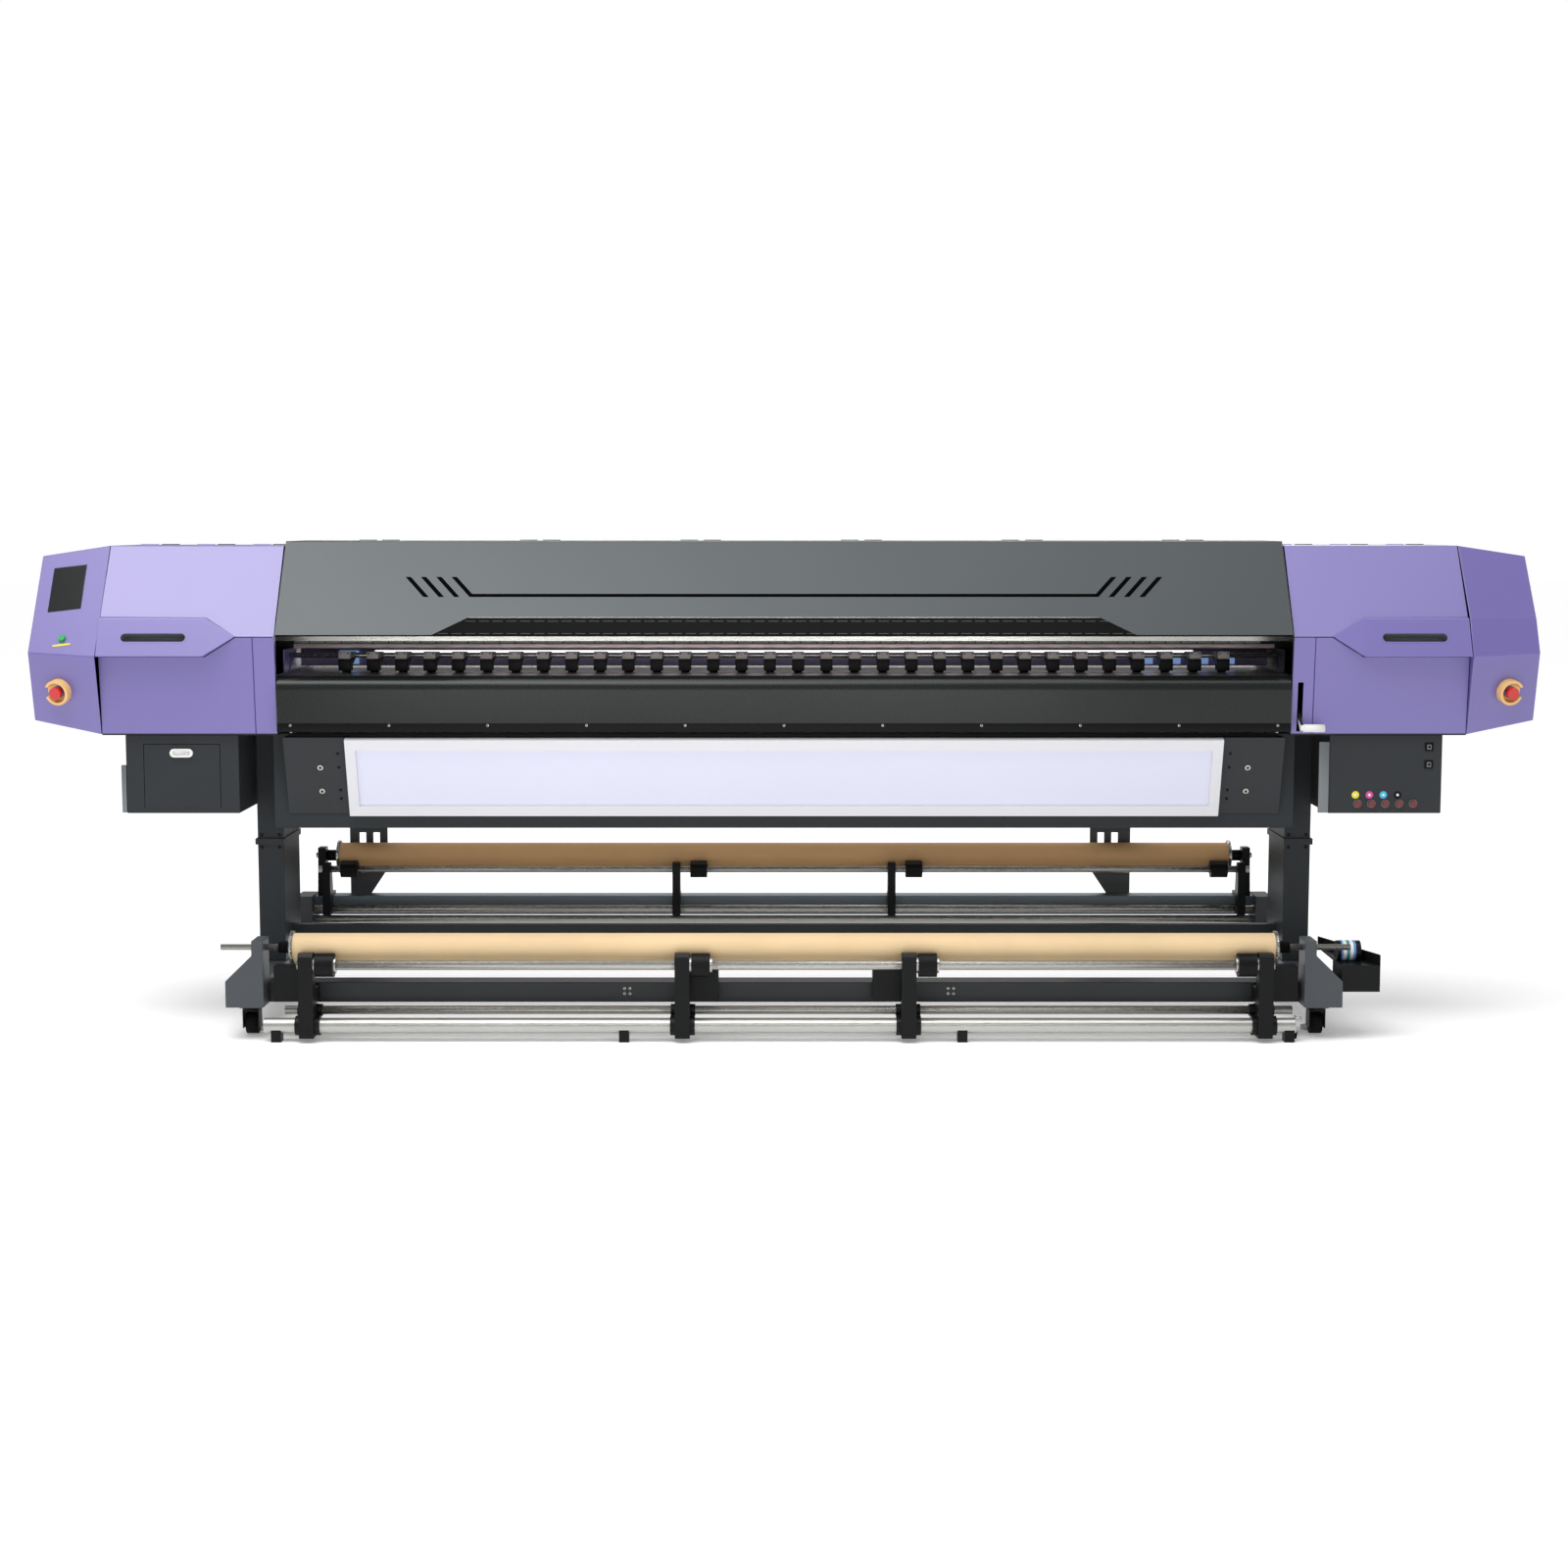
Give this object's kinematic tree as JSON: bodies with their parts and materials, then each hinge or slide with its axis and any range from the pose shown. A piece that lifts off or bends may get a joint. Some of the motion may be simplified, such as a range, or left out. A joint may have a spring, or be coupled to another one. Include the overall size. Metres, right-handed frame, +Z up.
{
  "type": "wide-format roll-to-roll inkjet printer",
  "caption": "Free-standing wide-format roll printer: lidded beam housing with travelling carriage on a steel stand, supply and take-up rolls, dryer panel and casters.",
  "frame": {"origin": "centre of the footprint, on the floor", "axes": "+X along the machine to the operator's right, +Y from the operator's side (take-up) to the supply side, +Z up"},
  "size_m": [4.95, 1.0699, 1.621],
  "materials": {
    "aluminium": "brushed",
    "black_paint": "satin",
    "black_plastic": "matte",
    "black_rubber": "matte",
    "charcoal_paint": "satin",
    "core_card": "matte",
    "cream_plastic": "satin",
    "dark_red_plastic": "gloss",
    "green_plastic": "gloss",
    "grey_plastic": "matte",
    "purple_paint": "satin",
    "red_plastic": "gloss",
    "screen_glass": "gloss",
    "steel": "brushed",
    "white_panel": "satin"
  },
  "bodies": {
    "machine": {"stand_frames": "charcoal_paint", "levelling_feet": "steel", "main_beam": "charcoal_paint", "cross_beams": "charcoal_paint", "side_frames": "purple_paint", "left_cabinet": "charcoal_paint", "right_cabinet": "charcoal_paint", "lower_panels": "purple_paint", "rear_covers": "charcoal_paint", "left_end_cap": "purple_paint", "right_end_cap": "purple_paint", "touch_screen": "screen_glass", "stop_button_guards": "cream_plastic", "dryer_end_plates": "charcoal_paint", "dryer_frame": "aluminium", "dryer_panel": "white_panel", "media_aprons": "charcoal_paint", "platen": "charcoal_paint", "carriage_beam": "aluminium", "carriage_motor": "black_plastic", "carriage_belt": "black_rubber", "capping_station": "black_paint", "takeup_stands": "black_paint", "takeup_drive": "black_paint", "guide_bars": "aluminium", "supply_stands": "black_paint"},
    "hood": {"hood": "charcoal_paint"},
    "left_lid": {"left_lid": "purple_paint"},
    "right_lid": {"right_lid": "purple_paint"},
    "cabinet_door": {"cabinet_door": "charcoal_paint"},
    "print_carriage": {"print_carriage": "black_paint", "print_heads": "steel"},
    "motor_pulley": {"motor_pulley": "aluminium"},
    "idler_pulley": {"idler_pulley": "aluminium"},
    "grit_roller": {"grit_roller": "steel"},
    "lift_lever": {"lift_lever": "steel"},
    "pinch_arms": {"pinch_arms": "grey_plastic"},
    "pinch_wheels": {"pinch_wheels": "black_rubber"},
    "takeup_roll": {"takeup_core": "core_card", "takeup_chucks": "steel"},
    "takeup_support": {"takeup_support_shaft": "steel"},
    "supply_roll": {"supply_core": "core_card", "supply_chucks": "steel"},
    "supply_support": {"supply_support_shaft": "steel"},
    "front_left_caster_fork": {"front_left_caster_fork": "steel"},
    "front_left_caster_wheel": {"front_left_caster_wheel": "black_rubber"},
    "front_right_caster_fork": {"front_right_caster_fork": "steel"},
    "front_right_caster_wheel": {"front_right_caster_wheel": "black_rubber"},
    "rear_left_caster_fork": {"rear_left_caster_fork": "steel"},
    "rear_left_caster_wheel": {"rear_left_caster_wheel": "black_rubber"},
    "rear_right_caster_fork": {"rear_right_caster_fork": "steel"},
    "rear_right_caster_wheel": {"rear_right_caster_wheel": "black_rubber"},
    "start_button": {"start_button": "green_plastic"},
    "left_stop_button": {"left_stop_button": "red_plastic"},
    "right_stop_button": {"right_stop_button": "red_plastic"},
    "ink_button_1": {"ink_button_1": "dark_red_plastic"},
    "ink_button_2": {"ink_button_2": "dark_red_plastic"},
    "ink_button_3": {"ink_button_3": "dark_red_plastic"},
    "ink_button_4": {"ink_button_4": "dark_red_plastic"},
    "ink_button_5": {"ink_button_5": "dark_red_plastic"}
  },
  "joints": [
    {"name": "hood_lift", "type": "hinge", "parent": "machine", "child": "hood", "pos_m": [0, 0.15, 1.615], "axis": [-1, 0, 0], "range_deg": [0, 55]},
    {"name": "left_lid_lift", "type": "hinge", "parent": "machine", "child": "left_lid", "pos_m": [0, 0.15, 1.6], "axis": [-1, 0, 0], "range_deg": [0, 55]},
    {"name": "right_lid_lift", "type": "hinge", "parent": "machine", "child": "right_lid", "pos_m": [0, 0.15, 1.6], "axis": [-1, 0, 0], "range_deg": [0, 55]},
    {"name": "cabinet_door_swing", "type": "hinge", "parent": "machine", "child": "cabinet_door", "pos_m": [-1.9835, -0.3, 0.7415], "axis": [1, 0, 0], "range_deg": [0, 90]},
    {"name": "carriage_travel", "type": "slide", "parent": "machine", "child": "print_carriage", "axis": [1, 0, 0], "range_m": [-3.9, 0]},
    {"name": "motor_pulley_spin", "type": "hinge", "parent": "machine", "child": "motor_pulley", "pos_m": [2.17, -0.03, 1.43], "axis": [0, 1, 0], "continuous": true},
    {"name": "idler_pulley_spin", "type": "hinge", "parent": "machine", "child": "idler_pulley", "pos_m": [-2.17, -0.03, 1.43], "axis": [0, 1, 0], "continuous": true},
    {"name": "grit_roller_spin", "type": "hinge", "parent": "machine", "child": "grit_roller", "pos_m": [0, -0.13, 1.165], "axis": [1, 0, 0], "continuous": true},
    {"name": "lever_throw", "type": "hinge", "parent": "machine", "child": "lift_lever", "pos_m": [0, -0.2, 1.15], "axis": [-1, 0, 0], "range_deg": [0, 30]},
    {"name": "pinch_lift", "type": "hinge", "parent": "machine", "child": "pinch_arms", "pos_m": [0, -0.075, 1.235], "axis": [-1, 0, 0], "range_deg": [0, 12]},
    {"name": "pinch_wheel_spin", "type": "hinge", "parent": "pinch_arms", "child": "pinch_wheels", "pos_m": [0, -0.13, 1.1926], "axis": [1, 0, 0], "continuous": true},
    {"name": "takeup_roll_spin", "type": "hinge", "parent": "machine", "child": "takeup_roll", "pos_m": [0, -0.43, 0.3], "axis": [1, 0, 0], "continuous": true},
    {"name": "takeup_support_spin", "type": "hinge", "parent": "machine", "child": "takeup_support", "pos_m": [0, -0.50148, 0.25343], "axis": [1, 0, 0], "continuous": true},
    {"name": "supply_roll_spin", "type": "hinge", "parent": "machine", "child": "supply_roll", "pos_m": [0, 0.465, 0.483], "axis": [1, 0, 0], "continuous": true},
    {"name": "supply_support_spin", "type": "hinge", "parent": "machine", "child": "supply_support", "pos_m": [0, 0.40106, 0.44134], "axis": [1, 0, 0], "continuous": true},
    {"name": "front_left_caster_swivel", "type": "hinge", "parent": "machine", "child": "front_left_caster_fork", "pos_m": [-1.754, -0.385, 0.09], "axis": [0, 0, 1], "continuous": true},
    {"name": "front_left_caster_roll", "type": "hinge", "parent": "front_left_caster_fork", "child": "front_left_caster_wheel", "pos_m": [-1.754, -0.363, 0.0375], "axis": [1, 0, 0], "continuous": true},
    {"name": "front_right_caster_swivel", "type": "hinge", "parent": "machine", "child": "front_right_caster_fork", "pos_m": [1.754, -0.385, 0.09], "axis": [0, 0, 1], "continuous": true},
    {"name": "front_right_caster_roll", "type": "hinge", "parent": "front_right_caster_fork", "child": "front_right_caster_wheel", "pos_m": [1.754, -0.363, 0.0375], "axis": [1, 0, 0], "continuous": true},
    {"name": "rear_left_caster_swivel", "type": "hinge", "parent": "machine", "child": "rear_left_caster_fork", "pos_m": [-1.754, 0.47, 0.09], "axis": [0, 0, 1], "continuous": true},
    {"name": "rear_left_caster_roll", "type": "hinge", "parent": "rear_left_caster_fork", "child": "rear_left_caster_wheel", "pos_m": [-1.754, 0.492, 0.0375], "axis": [1, 0, 0], "continuous": true},
    {"name": "rear_right_caster_swivel", "type": "hinge", "parent": "machine", "child": "rear_right_caster_fork", "pos_m": [1.754, 0.47, 0.09], "axis": [0, 0, 1], "continuous": true},
    {"name": "rear_right_caster_roll", "type": "hinge", "parent": "rear_right_caster_fork", "child": "rear_right_caster_wheel", "pos_m": [1.754, 0.492, 0.0375], "axis": [1, 0, 0], "continuous": true},
    {"name": "start_button_press", "type": "slide", "parent": "machine", "child": "start_button", "axis": [0.203, 0.8179, -0.5384], "range_m": [0, 0.003], "stiffness_N_per_m": 400, "springref_m": -0.002},
    {"name": "left_stop_press", "type": "slide", "parent": "machine", "child": "left_stop_button", "axis": [0.2672, 0.9344, 0.2354], "range_m": [0, 0.006]},
    {"name": "right_stop_press", "type": "slide", "parent": "machine", "child": "right_stop_button", "axis": [-0.2672, 0.9344, 0.2354], "range_m": [0, 0.006]},
    {"name": "ink_button_1_press", "type": "slide", "parent": "machine", "child": "ink_button_1", "axis": [0, 1, 0], "range_m": [0, 0.004], "stiffness_N_per_m": 400, "springref_m": -0.002},
    {"name": "ink_button_2_press", "type": "slide", "parent": "machine", "child": "ink_button_2", "axis": [0, 1, 0], "range_m": [0, 0.004], "stiffness_N_per_m": 400, "springref_m": -0.002},
    {"name": "ink_button_3_press", "type": "slide", "parent": "machine", "child": "ink_button_3", "axis": [0, 1, 0], "range_m": [0, 0.004], "stiffness_N_per_m": 400, "springref_m": -0.002},
    {"name": "ink_button_4_press", "type": "slide", "parent": "machine", "child": "ink_button_4", "axis": [0, 1, 0], "range_m": [0, 0.004], "stiffness_N_per_m": 400, "springref_m": -0.002},
    {"name": "ink_button_5_press", "type": "slide", "parent": "machine", "child": "ink_button_5", "axis": [0, 1, 0], "range_m": [0, 0.004], "stiffness_N_per_m": 400, "springref_m": -0.002}
  ],
  "couplings": [
    {"joint": "motor_pulley_spin", "follows": "carriage_travel", "rad_per_m": -46.948},
    {"joint": "idler_pulley_spin", "follows": "carriage_travel", "rad_per_m": -46.948},
    {"joint": "pinch_lift", "follows": "lever_throw", "ratio": 0.4},
    {"joint": "pinch_wheel_spin", "follows": "grit_roller_spin", "ratio": -1.25},
    {"joint": "takeup_support_spin", "follows": "takeup_roll_spin", "ratio": -1.1795},
    {"joint": "supply_support_spin", "follows": "supply_roll_spin", "ratio": -1.5333}
  ]
}
